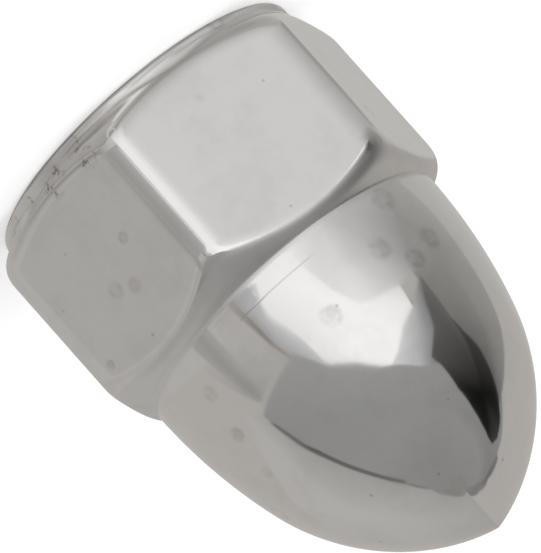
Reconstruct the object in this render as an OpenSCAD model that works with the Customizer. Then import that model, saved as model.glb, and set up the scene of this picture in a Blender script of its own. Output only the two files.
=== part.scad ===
// Tall acorn cap nut: a hexagon with a thin round collar under it, a pointed
// crown on top and a blind tapped hole. It is one solid piece of steel, buffed
// and chrome plated. The origin is the centre of the bearing face, and +Z runs
// along the bolt's axis up through the crown. Sizes are in millimetres.

/* [Hexagon] */
// Width across the flats
across_flats = 12.7; // [12.6:0.1:14]
// Height above the bearing face at which the upper chamfer meets the crown
head_h = 7.8; // [6.5:0.1:9]
// Angle of both chamfers to the bearing face
chamfer_angle = 31.5; // [25:0.5:36]
// Radius to which buffing has rounded the six upright edges
corner_round = 1.15; // [0.4:0.05:1.5]
// Radius to which it has rounded the flats into the chamfers
edge_round = 1.25; // [0.4:0.05:1.5]

/* [Collar] */
// Diameter of the collar round the bearing face
collar_d = 12.3; // [11:0.1:12.4]
// Height of the collar's wall under the hexagon's corners
collar_h = 0.2; // [0.2:0.05:0.8]
// Radius on the collar's rim
rim_round = 0.15; // [0.05:0.05:0.2]
// Radius of the hollow between the collar and the hexagon
collar_blend = 0.5; // [0.2:0.05:0.7]

/* [Crown] */
// Diameter of the crown at its root
crown_d = 12.1; // [11:0.1:12.4]
// Radius of the hollow between the crown and the hexagon
crown_blend = 0.35; // [0.2:0.05:0.7]
// Height of the whole nut
total_h = 18.4; // [17:0.1:20]
// Radius of the long arc that the crown's flank follows
flank_r = 19.1; // [16:0.1:30]
// Slope of the crown's blunt point to the bearing face
tip_slope = 17; // [10:1:25]

/* [Threaded hole] */
// Diameter of the tapping hole
bore_d = 6.6; // [6:0.1:7]
// Depth of the tapping hole at its full diameter
bore_depth = 10.5; // [9:0.1:11.5]
// Angle of the drill's point at the hole's end
drill_angle = 118; // [90:1:135]
// Diameter of the countersink at the bearing face
countersink_d = 8.5; // [7.2:0.1:9.5]
// Angle of the countersink
countersink_angle = 90; // [60:1:120]

/* [Hidden] */
collar_r = collar_d / 2;
crown_r = crown_d / 2;
bore_r = bore_d / 2;
// How far joined solids reach into each other, and cuts run past a face
overlap = 0.3;
// How far inside the round wall beside it a hollow ends, so that it runs into that wall
run_in = 0.02;
// Facets of a turned surface, steps along a flat, over a rounded edge and over a
// hollow, and the length of a step along the crown's arcs
round_facets = 96;
flat_steps = 10;
edge_steps = 5;
hollow_steps = 4;
arc_step = 0.4;

// The crown's outline is two arcs. The flank arc leaves the hexagon straight up.
// The nose arc has its centre across the axis, runs on from the flank arc without a
// corner, and ends at the blunt point with the given slope.
crown_h = total_h - head_h;
nose_r = (crown_r * crown_r + crown_h * crown_h - 2 * flank_r * crown_r)
       / (2 * (crown_h * cos(tip_slope) - crown_r * sin(tip_slope)
               - flank_r * (1 - sin(tip_slope))));
flank_centre = [crown_r - flank_r, head_h];
nose_centre = [-nose_r * sin(tip_slope), total_h - nose_r * cos(tip_slope)];
nose_start = atan2(nose_centre[1] - flank_centre[1], nose_centre[0] - flank_centre[0]);

// A point of the plane turned about the origin
function turned(p, angle) =
    [p[0] * cos(angle) - p[1] * sin(angle), p[0] * sin(angle) + p[1] * cos(angle)];

// Points along an arc, from just after one angle to just before another
function arc_points(centre, r, from, to) =
    let (steps = ceil(r * (to - from) * PI / 180 / arc_step))
    [for (i = [1 : steps - 1]) centre + turned([r, 0], from + (to - from) * i / steps)];

// Outline of the hexagon seen along the axis: the points of each flat, then those
// of the rounded corner that follows it
function hexagon_outline() =
    let (apothem = across_flats / 2,
         corner = (apothem - corner_round) / cos(30),
         half_flat = corner * sin(30))
    [for (facing = [30 : 60 : 330]) each concat(
        [for (i = [0 : flat_steps])
            turned([apothem, half_flat * (2 * i / flat_steps - 1)], facing)],
        [for (i = [1 : edge_steps - 1])
            turned([corner, 0], facing + 30)
                + turned([corner_round, 0], facing + 60 * i / edge_steps)])];

// Height over the foot of a chamfer, where it meets a round wall, at which the hollow
// between the two ends on that wall
function hollow_end(hollow) =
    hollow / cos(chamfer_angle) - (hollow - run_in) * tan(chamfer_angle);

// Centre of the rounded edge between a wall at distance r from the axis and a chamfer
// whose foot is at distance round_r
function edge_centre(r, round_r) =
    [r - edge_round,
     (round_r - r + edge_round) * tan(chamfer_angle) - edge_round / cos(chamfer_angle)];

// Section of one end of the hexagon, with heights taken from its chamfer's foot: over
// the rounded edge, in along the chamfer where the edge leaves some of it, through the
// hollow, and into the round wall
function shoulder(r, round_r, hollow) =
    let (edge = edge_centre(r, round_r),
         hollow_r = round_r - run_in + hollow,
         across = (hollow_r - edge[0]) / (edge_round + hollow),
         turn = min(90 - chamfer_angle, acos(min(across, 1))),
         centre = turn < 90 - chamfer_angle
             ? edge + turned([edge_round + hollow, 0], turn)
             : [hollow_r, hollow_end(hollow)])
    concat(
        [for (i = [0 : edge_steps]) edge + turned([edge_round, 0], turn * i / edge_steps)],
        [for (i = [hollow_steps : -1 : 0])
            centre - turned([hollow, 0], turn * i / hollow_steps)],
        [[round_r - overlap, hollow_end(hollow)]]);

// Height of the foot of the lower chamfer
lower_foot = collar_h + hollow_end(collar_blend);

// Section of the hexagon where its wall stands at distance r from the axis, from
// inside the collar up and round to inside the crown
function hexagon_section(r) =
    let (low = shoulder(r, collar_r, collar_blend),
         high = shoulder(r, crown_r, crown_blend))
    concat(
        [for (i = [len(low) - 1 : -1 : 0]) [low[i][0], lower_foot - low[i][1]]],
        [for (p = high) [p[0], head_h + p[1]]]);

// The hexagon, chamfered at both ends, with every edge rounded. One section stands
// on each point of the outline, and faces join it to the next.
module hexagon() {
    outline = hexagon_outline();
    columns = len(outline);
    rows = len(hexagon_section(across_flats));
    points = [for (p = outline, q = hexagon_section(norm(p)))
        [q[0] * p[0] / norm(p), q[0] * p[1] / norm(p), q[1]]];
    sides = [for (i = [0 : columns - 1], j = [0 : rows - 2])
        let (a = i * rows + j, b = (i + 1) % columns * rows + j)
            each [[a, a + 1, b + 1], [a, b + 1, b]]];
    bottom = [for (i = [0 : columns - 1]) i * rows];
    top = [for (i = [columns - 1 : -1 : 0]) i * rows + rows - 1];
    polyhedron(points, concat(sides, [bottom, top]), convexity = 2);
}

// The thin round collar that carries the bearing face. It reaches up inside the
// hexagon to where that has its full width.
module collar() {
    full_width_z = lower_foot - edge_centre(across_flats / 2, collar_r)[1];
    rotate_extrude($fn = round_facets)
        difference() {
            square([collar_r, full_width_z]);
            difference() {
                translate([collar_r - rim_round, 0]) square(rim_round);
                translate([collar_r - rim_round, rim_round]) circle(rim_round, $fn = round_facets);
            }
        }
}

// The pointed crown, from where the hexagon still has its full width up to its
// blunt point
module crown() {
    root_z = head_h + edge_centre(across_flats / 2, crown_r)[1];
    flank = arc_points(flank_centre, flank_r, 0, nose_start);
    nose = arc_points(nose_centre, nose_r, nose_start, 90 - tip_slope);
    rotate_extrude($fn = round_facets)
        polygon(concat([[0, root_z], [crown_r, root_z]], flank, nose, [[0, total_h]]));
}

// The blind tapping hole: countersink, straight wall and drill point
module threaded_hole() {
    countersink_depth = (countersink_d - bore_d) / 2 / tan(countersink_angle / 2);
    point_depth = bore_r / tan(drill_angle / 2);
    flare = 2 * overlap * tan(countersink_angle / 2);
    translate([0, 0, -overlap]) {
        cylinder(r = bore_r, h = overlap + bore_depth, $fn = round_facets);
        cylinder(d1 = countersink_d + flare, d2 = bore_d,
                 h = overlap + countersink_depth, $fn = round_facets);
    }
    translate([0, 0, bore_depth])
        cylinder(r1 = bore_r, r2 = 0, h = point_depth, $fn = round_facets);
}

module cap_nut() {
    color("gainsboro")
        difference() {
            union() {
                hexagon();
                collar();
                crown();
            }
            threaded_hole();
        }
}

cap_nut();
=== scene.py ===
"""The looks of a tall acorn cap nut: buffed chrome plate over a cold-formed body.

The nut is one closed mesh. Each of its columns is the outline of the nut in a half
plane through the axis, from the crown's tip down the outside, round the collar, and
up through the tapped hole. The studio round it is what the polished metal mirrors.
"""
import math

import bmesh
import bpy
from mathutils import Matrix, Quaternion, Vector


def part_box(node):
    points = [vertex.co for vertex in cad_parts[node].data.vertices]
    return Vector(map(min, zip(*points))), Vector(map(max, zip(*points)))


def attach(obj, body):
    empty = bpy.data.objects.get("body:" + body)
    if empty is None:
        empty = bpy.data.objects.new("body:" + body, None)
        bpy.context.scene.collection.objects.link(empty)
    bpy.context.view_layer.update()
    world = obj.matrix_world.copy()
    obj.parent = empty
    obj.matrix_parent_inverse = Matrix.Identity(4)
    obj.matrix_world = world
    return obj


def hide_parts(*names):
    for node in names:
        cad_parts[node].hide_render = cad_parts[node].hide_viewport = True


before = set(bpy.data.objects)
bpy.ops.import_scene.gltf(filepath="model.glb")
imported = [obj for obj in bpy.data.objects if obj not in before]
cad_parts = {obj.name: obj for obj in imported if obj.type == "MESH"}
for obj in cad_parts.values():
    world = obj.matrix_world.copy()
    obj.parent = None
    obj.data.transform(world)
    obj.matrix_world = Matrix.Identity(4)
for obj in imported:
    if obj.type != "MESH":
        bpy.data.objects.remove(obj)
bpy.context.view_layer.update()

MM = 0.001
MICRON = 0.001 * MM
INCH = 25.4 * MM

# The hexagon's width, the reach of its rounded corners and the nut's height come from
# the CAD node. The rest are the sizes of its forms. HEAD_H is where the upper chamfer
# meets the crown, and COLLAR_TOP where the lower one meets the collar's wall.
node_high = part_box("cap_nut")[1]
HEIGHT = node_high.z
APOTHEM = node_high.y
CORNER_REACH = node_high.x
HEAD_H = 7.8 * MM
CHAMFER = math.radians(31.5)
COLLAR_R = 6.15 * MM
COLLAR_TOP = 0.49 * MM
RIM_ROUND = 0.2 * MM
COLLAR_BLEND = 0.5 * MM
CROWN_R = 6.05 * MM
CROWN_BLEND = 0.12 * MM
FLANK_R = 19.1 * MM
TIP_SLOPE = math.radians(17)
TIP_ROUND = 0.3 * MM

# Buffing has rounded every edge of the hexagon: a flat runs out over a wide arc and
# then a tight one. The tight arcs of the upper and lower edges grow by an extra towards
# the corners. The tight arc of an upright edge follows from the corner's reach.
WIDE_R = 2.5 * MM
WIDE_TURN = math.radians(5)
UPPER_ROUND = 0.6 * MM
LOWER_ROUND = 1.0 * MM
UPPER_EXTRA = 0.68 * MM
LOWER_EXTRA = 0.1 * MM

# A 5/16 in thread with 18 turns to the inch, tapped into a drilled hole with a 90 degree
# countersink. THREAD_ROOT is the width of the groove's flat root.
PITCH = INCH / 18
THREAD_ROOT = PITCH / 8
THREAD_R = INCH * 5 / 32
BORE_R = 3.3 * MM
BORE_DEPTH = 10.5 * MM
DRILL_ANGLE = math.radians(118)
COUNTERSINK_R = 4.25 * MM
THREAD_END = 9.4 * MM
THREAD_FADE = 0.8 * MM
THREAD_FLANK = math.radians(30)

# Steps along each stretch of the outline seen along the axis, and of the section
ROWS_PER_TURN = 24
FLAT_STEPS = 11
CORNER_STEPS = 8
WIDE_STEPS = 4
TIP_STEPS = 4
NOSE_STEPS = 46
FLANK_STEPS = 20
CROWN_BLEND_STEPS = 5
CHAMFER_STEPS = 5
EDGE_STEPS = 9
WALL_STEPS = 12
COLLAR_BLEND_STEPS = 7
COLLAR_STEPS = 3
RIM_STEPS = 5
FACE_STEPS = 5
BORE_STEPS = 3
POINT_STEPS = 4
# Points nearer than MERGE are made one. Faces that meet at more than SHARP show an edge.
MERGE = 1e-4 * MM
SHARP = math.radians(32)


# ---------------------------------------------------------------- the nut's outline

def polar(angle, radius=1.0):
    return Vector((math.cos(angle), math.sin(angle))) * radius


def arc(centre, radius, start, end, steps):
    """Points from one angle to another round a centre, both ends included."""
    return [centre + polar(start + (end - start) * i / steps, radius) for i in range(steps + 1)]


def straight(start, end, steps):
    """Points from start to end, closer together near both, where a rounding begins."""
    return [start.lerp(end, (1 - math.cos(math.pi * i / steps)) / 2) for i in range(steps + 1)]


def angle_of(way):
    return math.atan2(way.y, way.x)


def lower_chamfer(r):
    return COLLAR_TOP + (r - COLLAR_R) * math.tan(CHAMFER)


def upper_chamfer(r):
    return HEAD_H - (r - CROWN_R) * math.tan(CHAMFER)


def edge_inset(tight_r):
    """How far inside the wall the tight arc of a rounded edge has its centre."""
    return WIDE_R * (1 - math.cos(WIDE_TURN)) + tight_r * math.cos(WIDE_TURN)


def crown_arcs():
    """Centre and radius of the crown's flank arc and of its nose arc."""
    crown_h = HEIGHT - HEAD_H
    nose_r = (CROWN_R ** 2 + crown_h ** 2 - 2 * FLANK_R * CROWN_R) / (
        2 * (crown_h * math.cos(TIP_SLOPE) - CROWN_R * math.sin(TIP_SLOPE)
             - FLANK_R * (1 - math.sin(TIP_SLOPE))))
    flank = Vector((CROWN_R - FLANK_R, HEAD_H))
    nose = Vector((0, HEIGHT)) - polar(math.pi / 2 - TIP_SLOPE, nose_r)
    return flank, nose, nose_r


FLANK_CENTRE, NOSE_CENTRE, NOSE_R = crown_arcs()
NOSE_START = angle_of(NOSE_CENTRE - FLANK_CENTRE)


def tip_centre():
    """Centre of the small ball that blunts the tip, which touches the nose arc."""
    reach = NOSE_R - TIP_ROUND
    return Vector((0, NOSE_CENTRE.y + math.sqrt(reach ** 2 - NOSE_CENTRE.x ** 2)))


def crown_blend(upper_edge, tight_r):
    """Centre of the hollow blend between crown and hexagon, and where it touches the
    hexagon: on the chamfer, or past its end on the rounded edge."""
    # on the chamfer: u is how far out of the crown's root the centre lies
    lift = CROWN_BLEND / math.cos(CHAMFER)
    slope = math.tan(CHAMFER)
    a = 1 + slope ** 2
    b = 2 * (FLANK_R - slope * lift)
    c = FLANK_R ** 2 + lift ** 2 - (FLANK_R + CROWN_BLEND) ** 2
    u = (-b + math.sqrt(b * b - 4 * a * c)) / (2 * a)
    centre = Vector((CROWN_R + u, HEAD_H + lift - u * slope))
    touch = centre - polar(math.pi / 2 - CHAMFER, CROWN_BLEND)
    edge_start = upper_edge + polar(math.pi / 2 - CHAMFER, tight_r)
    if touch.x < edge_start.x:
        return centre, touch, edge_start
    # on the rounded edge: where two circles round the crown's and the edge's centres meet
    way = upper_edge - FLANK_CENTRE
    r1 = FLANK_R + CROWN_BLEND
    r2 = tight_r + CROWN_BLEND
    along = (way.length_squared + r1 * r1 - r2 * r2) / (2 * way.length)
    across = math.sqrt(r1 * r1 - along * along)
    way.normalize()
    centre = FLANK_CENTRE + way * along + Vector((-way.y, way.x)) * across
    touch = upper_edge + (centre - upper_edge).normalized() * tight_r
    return centre, touch, touch


def collar_blend(lower_edge, tight_r):
    """The same for the hollow blend between the hexagon and the collar's wall."""
    x = COLLAR_R + COLLAR_BLEND
    centre = Vector((x, lower_chamfer(x) - COLLAR_BLEND / math.cos(CHAMFER)))
    touch = centre + polar(math.pi / 2 + CHAMFER, COLLAR_BLEND)
    edge_end = lower_edge + polar(CHAMFER - math.pi / 2, tight_r)
    if touch.x < edge_end.x:
        return centre, touch, edge_end
    reach = tight_r + COLLAR_BLEND
    centre = Vector((x, lower_edge.y - math.sqrt(reach ** 2 - (x - lower_edge.x) ** 2)))
    touch = lower_edge + (centre - lower_edge).normalized() * tight_r
    return centre, touch, touch


def outside(wall):
    """The outline from the tip down to the bearing face, in the half plane in which the
    hexagon's wall stands at a distance of wall from the axis."""
    cornerwards = (wall - APOTHEM) / (CORNER_REACH - APOTHEM)
    upper_r = UPPER_ROUND + UPPER_EXTRA * cornerwards
    lower_r = LOWER_ROUND + LOWER_EXTRA * cornerwards
    upper_x = wall - edge_inset(upper_r)
    lower_x = wall - edge_inset(lower_r)
    upper = Vector((upper_x, upper_chamfer(upper_x) - upper_r / math.cos(CHAMFER)))
    lower = Vector((lower_x, lower_chamfer(lower_x) + lower_r / math.cos(CHAMFER)))
    upper_wide = upper - polar(WIDE_TURN, WIDE_R - upper_r)
    lower_wide = lower - polar(-WIDE_TURN, WIDE_R - lower_r)
    top, top_touch, top_edge = crown_blend(upper, upper_r)
    low, low_touch, low_edge = collar_blend(lower, lower_r)
    tip = tip_centre()
    tip_end = angle_of(tip - NOSE_CENTRE)
    crown_end = angle_of(top - FLANK_CENTRE)
    rim = Vector((COLLAR_R - RIM_ROUND, RIM_ROUND))
    return [
        arc(tip, TIP_ROUND, math.pi / 2, tip_end, TIP_STEPS),
        arc(NOSE_CENTRE, NOSE_R, tip_end, NOSE_START, NOSE_STEPS),
        arc(FLANK_CENTRE, FLANK_R, NOSE_START, crown_end, FLANK_STEPS),
        arc(top, CROWN_BLEND, crown_end + math.pi, angle_of(top_touch - top) % math.tau,
            CROWN_BLEND_STEPS),
        straight(top_touch, top_edge, CHAMFER_STEPS),
        arc(upper, upper_r, angle_of(top_edge - upper), WIDE_TURN, EDGE_STEPS),
        arc(upper_wide, WIDE_R, WIDE_TURN, 0, WIDE_STEPS),
        straight(Vector((wall, upper_wide.y)), Vector((wall, lower_wide.y)), WALL_STEPS),
        arc(lower_wide, WIDE_R, 0, -WIDE_TURN, WIDE_STEPS),
        arc(lower, lower_r, -WIDE_TURN, angle_of(low_edge - lower), EDGE_STEPS),
        straight(low_edge, low_touch, CHAMFER_STEPS),
        arc(low, COLLAR_BLEND, angle_of(low_touch - low), math.pi, COLLAR_BLEND_STEPS),
        straight(Vector((COLLAR_R, low.y)), Vector((COLLAR_R, RIM_ROUND)), COLLAR_STEPS),
        arc(rim, RIM_ROUND, 0, -math.pi / 2, RIM_STEPS),
        straight(Vector((rim.x, 0)), Vector((COUNTERSINK_R, 0)), FACE_STEPS),
    ]


def thread_wall(angle, z):
    """Distance of the tapped hole's wall from the axis: a right-handed groove with
    straight flanks and a flat root, which starts in the countersink and runs out."""
    from_root = abs((z / PITCH - angle / math.tau) % 1 - 0.5) * PITCH - THREAD_ROOT / 2
    depth = THREAD_R - BORE_R - max(from_root, 0) / math.tan(THREAD_FLANK)
    depth *= min(max((THREAD_END - z) / THREAD_FADE, 0), 1)
    countersink = COUNTERSINK_R - z
    return max(BORE_R + max(depth, 0), countersink)


def inside(angle):
    """The outline of the hole, from the bearing face up to the drill point's tip."""
    rows = math.ceil(THREAD_END / PITCH * ROWS_PER_TURN)
    heights = [THREAD_END * i / rows for i in range(rows + 1)]
    thread = [Vector((thread_wall(angle, z), z)) for z in heights]
    bore_end = Vector((BORE_R, BORE_DEPTH))
    point = Vector((0, BORE_DEPTH + BORE_R / math.tan(DRILL_ANGLE / 2)))
    return [thread, straight(thread[-1], bore_end, BORE_STEPS),
            straight(bore_end, point, POINT_STEPS)]


def chain(stretches):
    """One list of points from stretches that each start where the last one ended."""
    return stretches[0] + [p for stretch in stretches[1:] for p in stretch[1:]]


def hexagon_plan():
    """Points of the hexagon's outline seen along the axis, corner to corner."""
    corner = polar(math.pi / 6, CORNER_REACH)
    ways = polar(WIDE_TURN), polar(math.pi / 6)
    tight_r = (APOTHEM - WIDE_R * (1 - ways[0].x) - corner.x) / (ways[0].x - ways[1].x)
    flat_end = corner.y - WIDE_R * ways[0].y - tight_r * (ways[1].y - ways[0].y)
    wide = Vector((APOTHEM - WIDE_R, flat_end))
    half = chain([
        straight(Vector((APOTHEM, 0)), Vector((APOTHEM, flat_end)), FLAT_STEPS),
        arc(wide, WIDE_R, 0, WIDE_TURN, WIDE_STEPS),
        arc(corner - ways[1] * tight_r, tight_r, WIDE_TURN, math.pi / 6, CORNER_STEPS)])
    side = [Vector((p.x, -p.y)) for p in half[:0:-1]] + half[:-1]
    return [polar(math.radians(30 + 60 * i) + angle_of(p), p.length)
            for i in range(6) for p in side]


def build_nut(name):
    """The whole nut as one closed mesh: a grid of columns round the axis."""
    bm = bmesh.new()
    columns = []
    for p in hexagon_plan():
        angle = angle_of(p)
        outline = chain(outside(p.length) + inside(angle))
        columns.append([bm.verts.new((q.x * math.cos(angle), q.x * math.sin(angle), q.y))
                        for q in outline])
    for here, there in zip(columns, columns[1:] + columns[:1]):
        for i in range(len(here) - 1):
            bm.faces.new((here[i], here[i + 1], there[i + 1], there[i]))
    # the tip, the drill point and the stretches of no length each become one point
    bmesh.ops.remove_doubles(bm, verts=bm.verts, dist=MERGE)
    bmesh.ops.recalc_face_normals(bm, faces=bm.faces)
    mesh = bpy.data.meshes.new(name)
    bm.to_mesh(mesh)
    bm.free()
    mesh.shade_smooth()
    mesh.set_sharp_from_angle(angle=SHARP)
    nut = bpy.data.objects.new(name, mesh)
    bpy.context.scene.collection.objects.link(nut)
    return nut


# ---------------------------------------------------------------- the metal

def node(tree, kind, inputs=None, **settings):
    """A shader node with its settings, and its inputs given as values or as sockets."""
    made = tree.nodes.new(kind)
    for key, value in settings.items():
        setattr(made, key, value)
    for key, value in (inputs or {}).items():
        if isinstance(value, bpy.types.NodeSocket):
            tree.links.new(value, made.inputs[key])
        else:
            made.inputs[key].default_value = value
    return made


def new_material(name):
    material = bpy.data.materials.new(name)
    material.use_nodes = True
    material.node_tree.nodes.clear()
    return material, material.node_tree


def maths(tree, operation, first, second=0.0):
    return node(tree, "ShaderNodeMath", {0: first, 1: second}, operation=operation).outputs[0]


def scaled(tree, value, factor):
    return maths(tree, "MULTIPLY", value, factor)


def largest(tree, values):
    result = values[0]
    for value in values[1:]:
        result = maths(tree, "MAXIMUM", result, value)
    return result


def fade(tree, value, start, end, low=0.0, high=1.0):
    """low where the value is at start, high where it is at end, smoothly between."""
    made = node(tree, "ShaderNodeMapRange", {
        "Value": value, "From Min": start, "From Max": end, "To Min": low, "To Max": high},
        interpolation_type="SMOOTHSTEP")
    return made.outputs["Result"]


def noise(tree, place, scale, detail, roughness=0.5):
    made = node(tree, "ShaderNodeTexNoise", {
        "Vector": place, "Scale": scale, "Detail": detail, "Roughness": roughness})
    return made.outputs["Fac"]


def spots(tree, place, scale, share):
    """Distance from the nearest of some scattered points, in their own spacing, and 1
    at the given share of them, 0 at the others."""
    cells = node(tree, "ShaderNodeTexVoronoi", {"Vector": place, "Scale": scale})
    chance = node(tree, "ShaderNodeSeparateColor", {"Color": cells.outputs["Color"]})
    chosen = maths(tree, "LESS_THAN", chance.outputs["Red"], share)
    return cells.outputs["Distance"], chosen


def places(tree):
    """A point's place in millimetres, the same drawn out round the axis, its section,
    which is its distance from the axis with its height, and its height alone."""
    coords = node(tree, "ShaderNodeTexCoord").outputs["Object"]
    place = node(tree, "ShaderNodeVectorMath", {0: coords, "Scale": 1 / MM},
                 operation="SCALE").outputs[0]
    drawn_out = node(tree, "ShaderNodeVectorMath", {0: place, 1: DRAW_OUT},
                     operation="MULTIPLY").outputs[0]
    level = node(tree, "ShaderNodeVectorMath", {0: place, 1: (1, 1, 0)}, operation="MULTIPLY")
    radius = node(tree, "ShaderNodeVectorMath", {0: level.outputs[0]}, operation="LENGTH")
    height = node(tree, "ShaderNodeSeparateXYZ", {0: place}).outputs["Z"]
    section = node(tree, "ShaderNodeCombineXYZ", {
        "X": radius.outputs["Value"], "Z": height}).outputs[0]
    return place, drawn_out, section, height


def near_point(tree, place, point, full, none):
    """1 within full millimetres of a point, 0 beyond none of them."""
    away = node(tree, "ShaderNodeVectorMath", {0: place, 1: point}, operation="DISTANCE")
    return fade(tree, away.outputs["Value"], none, full)


# Where drops have dried on the plate, and how far their rims reach, in millimetres
DRIED_DROPS = [
    ((4.8, -4.4, 3.9), 0.2), ((5.7, -2.9, 4.8), 0.28), ((6.8, -0.9, 6.2), 0.16),
    ((-2.6, -5.45, 8.4), 0.38), ((-1.25, -5.8, 9.8), 0.36), ((-2.05, -5.45, 10.7), 0.34),
    ((-3.1, -5.0, 10.3), 0.36), ((1.6, -5.6, 10.6), 0.34), ((5.45, -1.9, 11.0), 0.25)]
# Where the body's pores show through the plate by the collar, and how far they spread
PORES = [((4.25, -5.25, 1.2), 0.45), ((5.05, -3.7, 0.7), 0.6), ((4.1, -4.7, 0.45), 0.45),
         ((6.2, -1.0, 0.6), 0.5), ((5.7, -2.3, 0.5), 0.35), ((-4.2, 5.0, 0.9), 0.8),
         ((-6.2, -1.0, 0.8), 0.6)]
# The middle and half length of a scratch that runs round the crown's root, and its
# distance from the axis
SCRATCH = (2.35, -5.57, 8.65), 1.9
SCRATCH_R = 6.03
# The turned lines by the collar are noise squeezed across them and drawn out along them
DRAW_OUT = (0.25, 0.25, 6)
# How far each mark takes the plate's colour towards the stain's
FILM, DROP, SPECK = 0.07, 0.22, 0.25
STREAK, RIM, GOUGE, PORE, HALO = 0.25, 0.4, 0.22, 0.55, 0.06

PLATE = (0.785, 0.777, 0.768, 1)
STAIN = (0.1, 0.07, 0.05, 1)
# Roughness where the wheel reached and where it didn't, and what a full stain adds
BUFFED, UNBUFFED, STAINED = 0.07, 0.42, 0.4
# Height of the plate's waves and depth of a full stain, in microns
WAVE_HEIGHT, STAIN_DEPTH = 4.0, 4.0


def dried_drop(tree, place, centre, radius):
    """Darkest along its rim, and a little less dark inside."""
    away = node(tree, "ShaderNodeVectorMath", {0: place, 1: centre}, operation="DISTANCE")
    away = away.outputs["Value"]
    disc = fade(tree, away, start=1.5 * radius, end=0.7 * radius)
    inner = fade(tree, away, start=0.8 * radius, end=0.3 * radius, low=1, high=0.8)
    return scaled(tree, disc, inner)


def handling_marks(tree, place):
    """A thin film in patches, dried drops and specks: how dark each makes the plate."""
    patches = noise(tree, place, scale=0.5, detail=4, roughness=0.62)
    film = fade(tree, patches, start=0.42, end=0.72)
    away, chosen = spots(tree, place, scale=0.42, share=0.3)
    off_ring = maths(tree, "ABSOLUTE", maths(tree, "SUBTRACT", away, 0.12))
    rings = scaled(tree, fade(tree, off_ring, start=0.07, end=0, high=0.7), chosen)
    drops = largest(tree, [rings] + [dried_drop(tree, place, *drop) for drop in DRIED_DROPS])
    grain = noise(tree, place, scale=2.2, detail=3)
    broken = fade(tree, grain, start=0.35, end=0.6, low=0.35, high=1)
    away, chosen = spots(tree, place, scale=0.9, share=0.35)
    specks = scaled(tree, fade(tree, away, start=0.085, end=0.03), chosen)
    return [scaled(tree, film, FILM), scaled(tree, scaled(tree, drops, broken), DROP),
            scaled(tree, specks, SPECK)]


def surface_marks(tree, place, drawn_out, section, height):
    """Turned lines by the collar, a darker band round its bottom edge, a scratch and pores:
    how dark each makes the plate."""
    lines = noise(tree, drawn_out, scale=1, detail=3, roughness=0.65)
    low = fade(tree, height, start=0.95, end=0.35)
    streaks = scaled(tree, fade(tree, lines, start=0.5, end=0.62), low)
    # the bottom edge darker, up to 0.14 mm above the bearing face
    rim = fade(tree, height, start=0.14, end=0.04)
    middle, half_length = SCRATCH
    # a line round the axis at the scratch's height, kept near the scratch's middle
    line = near_point(tree, section, (SCRATCH_R, 0, middle[2]), full=0.01, none=0.05)
    scratch = scaled(tree, line, near_point(
        tree, place, middle, full=0.6 * half_length, none=half_length))
    grain = noise(tree, place, scale=2.6, detail=5, roughness=0.7)
    blotches = fade(tree, grain, start=0.54, end=0.64)
    clusters = largest(tree, [
        near_point(tree, place, point, full=0.5 * reach, none=1.3 * reach)
        for point, reach in PORES])
    pores = scaled(tree, clusters, blotches)
    return [scaled(tree, streaks, STREAK), scaled(tree, rim, RIM),
            scaled(tree, scratch, GOUGE), scaled(tree, pores, PORE),
            scaled(tree, clusters, HALO)]


def off_chamfer(tree, section, radius, height, slope):
    """How far above a chamfer's cone a point is, in millimetres. The cone passes through
    the circle of that radius and height."""
    along = node(tree, "ShaderNodeVectorMath", {0: section, 1: (-slope, 0, 1)},
                 operation="DOT_PRODUCT").outputs["Value"]
    return maths(tree, "SUBTRACT", along, height - slope * radius)


def unbuffed(tree, section):
    """1 in the hollow by the crown, where the buffing wheel doesn't reach, half that in
    the one by the collar, 0 on the rest."""
    slope = math.tan(CHAMFER)
    above = off_chamfer(tree, section, CROWN_R / MM, HEAD_H / MM, -slope)
    below = off_chamfer(tree, section, COLLAR_R / MM, COLLAR_TOP / MM, slope)
    by_crown = scaled(tree, fade(tree, above, start=-0.45, end=-0.12),
                      fade(tree, above, start=0.28, end=0.06))
    by_collar = scaled(tree, fade(tree, below, start=0.06, end=-0.03, high=0.5),
                       fade(tree, below, start=-0.45, end=-0.2))
    return largest(tree, [by_crown, by_collar])


def chrome():
    """Buffed plate: bright on the open surfaces, duller in the two hollows that the
    buffing wheel doesn't reach, with the marks of making and handling."""
    material, tree = new_material("buffed_chrome")
    place, drawn_out, section, height = places(tree)
    dark = 0.0
    marks = handling_marks(tree, place)
    marks += surface_marks(tree, place, drawn_out, section, height)
    for mark in marks:
        dark = maths(tree, "ADD", mark, dark)
    colour = node(tree, "ShaderNodeMix", {
        "Factor": dark, "A": PLATE, "B": STAIN}, data_type="RGBA").outputs["Result"]
    dull = fade(tree, unbuffed(tree, section), start=0, end=1, low=BUFFED, high=UNBUFFED)
    roughness = maths(tree, "ADD", dull, scaled(tree, dark, STAINED))
    waves = scaled(tree, noise(tree, place, scale=0.3, detail=1), WAVE_HEIGHT)
    relief = maths(tree, "SUBTRACT", waves, scaled(tree, dark, STAIN_DEPTH))
    bump = node(tree, "ShaderNodeBump", {"Distance": MICRON, "Height": relief})
    shader = node(tree, "ShaderNodeBsdfPrincipled", {
        "Base Color": colour, "Metallic": 1.0, "Roughness": roughness,
        "Normal": bump.outputs["Normal"]})
    node(tree, "ShaderNodeOutputMaterial", {"Surface": shader.outputs[0]})
    return material


# ---------------------------------------------------------------- the studio

VIEW_AZIMUTH = math.radians(20.7)
VIEW_ELEVATION = math.radians(14.2)
VIEW_ROLL = math.radians(138.4)
AIM = Vector((0.20, -0.14, 6.81)) * MM
PICTURE_HEIGHT = 18.48 * MM
LENS = 1060
SENSOR = 36
FLOOR_R = 2.0
FLOOR_DROP = 0.01 * MM
FLOOR_SIDES = 96
FLOOR_GREY = 0.8
FLOOR_GLOW = 0.5
ROOM_LIGHT = 0.6
LAMP_WIDTH = 0.5
LAMP_POWER = 1.1
LAMP_AWAY = 0.8
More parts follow.
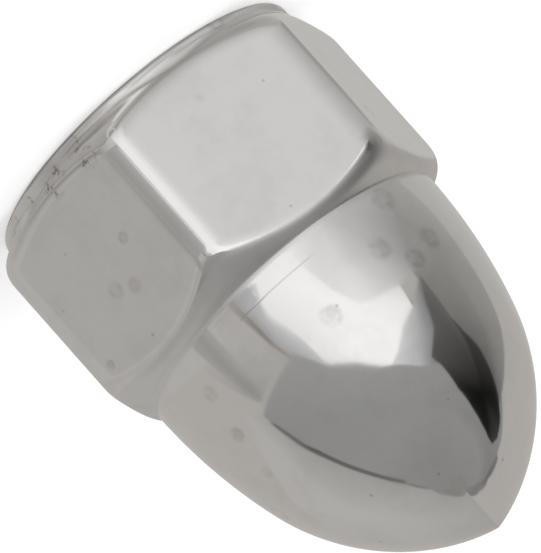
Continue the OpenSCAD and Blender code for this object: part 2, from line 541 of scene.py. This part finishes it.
# A card is a fan of rings, and its edge is cut into steps of about this many degrees
CARD_RINGS = 6
CARD_STEP = 4


def direction(azimuth, elevation):
    """A unit vector from the nut: degrees to the left of the camera, seen with the nut
    upright, and degrees above the floor."""
    a = math.radians(azimuth) - VIEW_AZIMUTH
    e = math.radians(elevation)
    return Vector((-math.sin(a) * math.cos(e), -math.cos(a) * math.cos(e), math.sin(e)))


def add_camera():
    data = bpy.data.cameras.new("camera")
    data.lens = LENS
    data.sensor_width = SENSOR
    data.clip_start = 0.01
    data.clip_end = 20
    camera = bpy.data.objects.new("camera", data)
    back = direction(0, math.degrees(VIEW_ELEVATION))
    camera.rotation_mode = "QUATERNION"
    upright = (-back).to_track_quat("-Z", "Y")
    camera.rotation_quaternion = upright @ Quaternion((0, 0, 1), VIEW_ROLL)
    camera.location = AIM + back * (LENS / SENSOR * PICTURE_HEIGHT)
    bpy.context.scene.collection.objects.link(camera)
    bpy.context.scene.camera = camera


def paint(name, colour):
    """A material that only shines, with the strength kept at each corner of the mesh."""
    material, tree = new_material(name)
    at_corner = node(tree, "ShaderNodeAttribute", attribute_name="strength")
    glow = node(tree, "ShaderNodeEmission", {
        "Color": (*colour, 1), "Strength": at_corner.outputs["Fac"]})
    node(tree, "ShaderNodeOutputMaterial", {"Surface": glow.outputs[0]})
    return material


def only_mirrored(thing):
    """The metal mirrors it, and it neither shows, nor lights or shades the floor."""
    thing.visible_camera = False
    thing.visible_diffuse = False
    thing.visible_shadow = False
    thing.visible_transmission = False


def add_card(name, distance, colour, corners, middle=None):
    """A card that the metal mirrors. Each corner is a direction from the nut, left of
    the camera and above the floor in degrees, and the card's strength there. So is the
    middle, which is the corners' mean where none is given."""
    bm = bmesh.new()
    strength = bm.verts.layers.float.new("strength")
    middle = middle or [sum(c[i] for c in corners) / len(corners) for i in range(3)]
    edge = []
    for start, end in zip(corners, corners[1:] + corners[:1]):
        steps = max(1, round(math.dist(start[:2], end[:2]) / CARD_STEP))
        edge += [[a + (b - a) * i / steps for a, b in zip(start, end)] for i in range(steps)]

    def ring(share):
        made = []
        for point in edge:
            azimuth, elevation, s = [m + (e - m) * share for m, e in zip(middle, point)]
            vert = bm.verts.new(direction(azimuth, elevation) * distance)
            vert[strength] = s
            made.append(vert)
        return made

    rings = [ring((i + 1) / CARD_RINGS) for i in range(CARD_RINGS)]
    hub = bm.verts.new(direction(middle[0], middle[1]) * distance)
    hub[strength] = middle[2]
    count = len(edge)
    for i in range(count):
        bm.faces.new((hub, rings[0][i], rings[0][(i + 1) % count]))
    for inner, outer in zip(rings, rings[1:]):
        for i in range(count):
            j = (i + 1) % count
            bm.faces.new((inner[i], outer[i], outer[j], inner[j]))
    mesh = bpy.data.meshes.new(name)
    bm.to_mesh(mesh)
    bm.free()
    mesh.materials.append(paint(name, colour))
    card = bpy.data.objects.new(name, mesh)
    bpy.context.scene.collection.objects.link(card)
    only_mirrored(card)


def add_cards():
    """What stands round the nut, the nearest last. The walls close all round it."""
    grey = (1.0, 1.0, 0.985)
    warm = (1.0, 0.975, 0.94)
    cool = (0.99, 0.99, 1.0)
    add_card("room_walls", 0.80, (0.505, 0.488, 0.464), [
        (-180, -90, 1), (180, -90, 1), (180, 90, 1), (-180, 90, 1)])
    add_card("wall_on_the_right", 0.62, warm, [
        (-60, 58, 0.4), (-62, 25, 0.4), (-68, 5, 0.44), (-80, 1, 0.52), (-120, 8, 0.54),
        (-150, 15, 0.49), (-180, 20, 0.47), (-180, 86, 0.42), (-80, 84, 0.4), (-66, 66, 0.42)],
        middle=(-112, 40, 0.53))
    add_card("dark_overhead", 0.61, warm, [
        (-180, 84, 0.3), (-180, 90, 0.3), (180, 90, 0.3), (180, 80, 0.22), (150, 76, 0.25),
        (130, 68, 0.16), (124, 56, 0.2), (106, 54, 0.1), (90, 60, 0.25), (0, 76, 0.25),
        (-56, 70, 0.2), (-62, 60, 0.14), (-66, 60, 0.16), (-74, 72, 0.3), (-110, 80, 0.32)])
    add_card("grey_card_above", 0.60, grey, [
        (150, 86, 0.3), (130, 77, 0.28), (121, 64, 0.25), (119, 50, 0.29), (112, 36, 0.27),
        (92, 30, 0.33), (60, 8, 0.37), (20, 6, 0.38), (-28, 4, 0.37), (-71, 4.5, 0.32),
        (-67, 25, 0.32), (-63, 50, 0.33), (-66, 70, 0.3), (-90, 84, 0.28)],
        middle=(22, 43, 0.33))
    # Its darker band round the middle is painted shade: the nut's shadow on the floor, as the
    # metal mirrors it.
    add_card("floor_below", 0.59, warm, [
        (-180, -45, 0.5), (-70, -45, 0.36), (-45, -45, 0.55), (-25, -42, 0.8), (15, -42, 0.9),
        (30, -44, 0.7), (70, -45, 0.5), (180, -45, 0.42), (180, -90, 0.5), (0, -90, 0.8),
        (-180, -90, 0.5)],
        middle=(54, -64, 0.38))
    add_card("floor_by_the_nut", 0.588, warm, [
        (-36, -44, 0.6), (-20, -42, 0.75), (12, -44, 0.8), (24, -60, 0.6), (12, -78, 0.6),
        (-36, -78, 0.65)], middle=(-12, -60, 0.85))
    add_card("floor_behind", 0.585, warm, [
        (85, -66, 0.5), (172, -64, 0.55), (172, -84, 0.7), (85, -84, 0.7)],
        middle=(145, -72, 1.0))
    add_card("dark_edge", 0.58, warm, [
        (-61, 60, 0.13), (-62, 45, 0.12), (-65, 20, 0.1), (-69.5, 7, 0.12), (-72, 6, 0.25),
        (-68.5, 20, 0.2), (-66, 45, 0.16), (-66, 60, 0.15)])
    add_card("floor_far_left", 0.57, warm, [
        (112, -8, 0.5), (130, -2, 0.5), (176, -4, 0.54), (178, -24, 0.57), (112, -24, 0.5)],
        middle=(150, -12, 0.55))
    add_card("dim_corner", 0.56, warm, [
        (103, 34, 0.14), (108, 42, 0.16), (116, 26, 0.28), (124, 10, 0.33), (126, 0, 0.37),
        (124, -8, 0.43), (116, -13, 0.45), (90, -13.5, 0.42), (80, -14, 0.38), (70, 0, 0.38),
        (75, 6, 0.26), (82, 17, 0.18)], middle=(103, -2, 0.33))
    add_card("edge_shade", 0.555, warm, [
        (112, -14.3, 0.5), (135, -13.5, 0.4), (158, -14, 0.34), (158, -22, 0.36),
        (112, -22, 0.5)])
    add_card("floor_on_the_left", 0.55, warm, [
        (62, -22, 0.55), (100, -19, 0.45), (150, -19, 0.5), (178, -22, 0.55), (178, -54, 0.42),
        (62, -50, 0.45)])
    add_card("floor_on_the_right", 0.54, warm, [
        (-5, -9, 0.6), (-20, 4, 0.46), (-45, 3.5, 0.46), (-66, 3, 0.38), (-74, -4, 0.45),
        (-82, -12, 0.51), (-120, -13, 0.53), (-150, -14, 0.52), (-150, -55, 0.5),
        (-112, -45, 0.42), (-84, -38, 0.3), (-50, -45, 0.5), (-5, -50, 0.7)],
        middle=(-40, -6, 0.54))
    add_card("shade_on_the_floor", 0.53, warm, [
        (-9, -12, 0.52), (-30, -11, 0.48), (-60, -12, 0.42), (-78, -12, 0.48), (-84, -14, 0.5),
        (-78, -22, 0.47), (-40, -24, 0.42), (-9, -22, 0.5)], middle=(-44, -15, 0.38))
    add_card("dim_strip", 0.525, warm, [
        (-56, -12, 0.45), (-55, -2, 0.46), (-57, 3.5, 0.4), (-64, 3.5, 0.34), (-69, -3, 0.42),
        (-74, -13, 0.44), (-64, -15, 0.38)], middle=(-64, -5, 0.36))
    add_card("white_card", 0.52, (1, 1, 1), [
        (60, 2, 0.7), (58, 9.5, 1.0), (40, 15, 1.12), (20, 20.5, 1.15), (2, 14.5, 1.13),
        (-12, 11.2, 1.0), (-19, 4, 0.93), (-22, -4, 0.95), (-19, -11, 1.0), (-5, -14, 1.05),
        (-8, -30, 0.9), (-10, -46, 0.85), (25, -48, 0.8), (45, -46, 0.55), (55, -20, 0.9)],
        middle=(13, -1, 1.13))
    add_card("pale_strip", 0.51, cool, [
        (-8, -14, 1.0), (-17, -11, 1.05), (-17, -4, 1.05), (-14, 4, 0.75), (-13, 11.5, 0.65),
        (-20, 7, 0.55), (-28, 2, 0.46), (-29, -6, 0.42), (-30, -12, 0.44), (-12, -16, 0.5)],
        middle=(-23, -4, 0.63))
    add_card("brown_edge", 0.505, (1, 0.95, 0.9), [
        (-26, 5, 0.4), (-29, 1, 0.34), (-29.5, -6, 0.3), (-31, -12, 0.42), (-36, -12, 0.46),
        (-34, -6, 0.4), (-32, 0, 0.36), (-29, 4, 0.4)], middle=(-31, -3, 0.26))
    add_card("pale_card", 0.50, cool, [
        (53, 29.5, 0.2), (38, 28, 0.55), (20, 20.5, 0.8), (40, 14, 0.72), (60, 9, 0.5),
        (75, 4, 0.22)])
    add_card("floor_in_front", 0.48, (1, 0.99, 0.98), [
        (80, 2, 0.36), (60, 5, 0.62), (36, 6, 0.92), (28, 5, 0.98), (21, 0, 0.92),
        (18, -5, 0.92), (16, -10, 1.02), (22, -13, 1.02), (28, -13, 0.93), (30, -20, 0.76),
        (36, -44, 0.6), (62, -44, 0.55), (100, -24, 0.58), (128, -22, 0.5),
        (124, -13.5, 0.48), (98, -13, 0.45), (88, -6, 0.36), (86, -3, 0.34)],
        middle=(42, -14, 0.76))
    add_card("black_gap", 0.46, warm, [
        (113, 52, 0.05), (108, 57, 0.04), (100, 57, 0.015), (88, 54.5, 0.012), (76, 50, 0.01),
        (63, 42, 0.015), (55, 31, 0.07), (50, 26, 0.1), (60, 17, 0.12), (69, 8, 0.14),
        (76, 4, 0.18), (79, 12, 0.1), (84, 18, 0.06), (94, 24, 0.05), (107, 37, 0.015),
        (112, 45, 0.02)], middle=(88, 42, 0.006))


def seen_straight(tree, path):
    """1 for the rays that show a backdrop: the camera's, mirrored ones and those through
    glass."""
    return largest(tree, [path.outputs[kind + " Ray"]
                          for kind in ("Is Camera", "Is Glossy", "Is Transmission")])


def add_world():
    """Plain light from all round, and a white backdrop for the rays that show one. The
    metal mirrors none of it while the walls, which only mirrored rays meet, are closed."""
    world = bpy.data.worlds.new("studio")
    world.use_nodes = True
    tree = world.node_tree
    tree.nodes.clear()
    path = node(tree, "ShaderNodeLightPath")
    light = node(tree, "ShaderNodeBackground", {"Color": (1, 1, 1, 1), "Strength": ROOM_LIGHT})
    backdrop = node(tree, "ShaderNodeBackground", {"Color": (1, 1, 1, 1), "Strength": 1.0})
    seen = node(tree, "ShaderNodeMixShader", {
        0: seen_straight(tree, path), 1: light.outputs[0], 2: backdrop.outputs[0]})
    node(tree, "ShaderNodeOutputWorld", {"Surface": seen.outputs[0]})
    bpy.context.scene.world = world


def floor_material():
    """Matt white. It shines a little besides where it is seen, so that it stays white
    round the nut and the nut's shadow is a soft grey."""
    material, tree = new_material("white_floor")
    path = node(tree, "ShaderNodeLightPath")
    matt = node(tree, "ShaderNodeBsdfDiffuse", {"Color": (FLOOR_GREY, FLOOR_GREY, FLOOR_GREY, 1)})
    glow = node(tree, "ShaderNodeEmission", {"Color": (1, 1, 1, 1), "Strength": FLOOR_GLOW})
    dark = node(tree, "ShaderNodeEmission", {"Color": (0, 0, 0, 1)})
    shown = node(tree, "ShaderNodeMixShader", {
        0: seen_straight(tree, path), 1: dark.outputs[0], 2: glow.outputs[0]})
    lit = node(tree, "ShaderNodeAddShader", {0: matt.outputs[0], 1: shown.outputs[0]})
    node(tree, "ShaderNodeOutputMaterial", {"Surface": lit.outputs[0]})
    return material


def add_floor():
    mesh = bpy.data.meshes.new("floor")
    rim = [polar(math.tau * i / FLOOR_SIDES, FLOOR_R) for i in range(FLOOR_SIDES)]
    mesh.from_pydata([(p.x, p.y, -FLOOR_DROP) for p in rim], [], [list(range(FLOOR_SIDES))])
    mesh.materials.append(floor_material())
    floor = bpy.data.objects.new("floor", mesh)
    bpy.context.scene.collection.objects.link(floor)
    floor.visible_glossy = False


def add_soft_light():
    """One large lamp above and in front, for the soft shadow. The cards stand for it in
    the metal."""
    data = bpy.data.lights.new("soft_light", "AREA")
    data.shape = "DISK"
    data.size = LAMP_WIDTH
    data.energy = LAMP_POWER
    lamp = bpy.data.objects.new("soft_light", data)
    lamp.location = direction(40, 65) * LAMP_AWAY
    lamp.rotation_mode = "QUATERNION"
    lamp.rotation_quaternion = lamp.location.to_track_quat("Z", "Y")
    lamp.visible_glossy = False
    bpy.context.scene.collection.objects.link(lamp)


nut = build_nut("cap_nut_body")
nut.data.materials.append(chrome())
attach(nut, "root")
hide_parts("cap_nut")

add_floor()
add_cards()
add_world()
add_soft_light()
add_camera()
bpy.context.scene.view_settings.view_transform = "Standard"
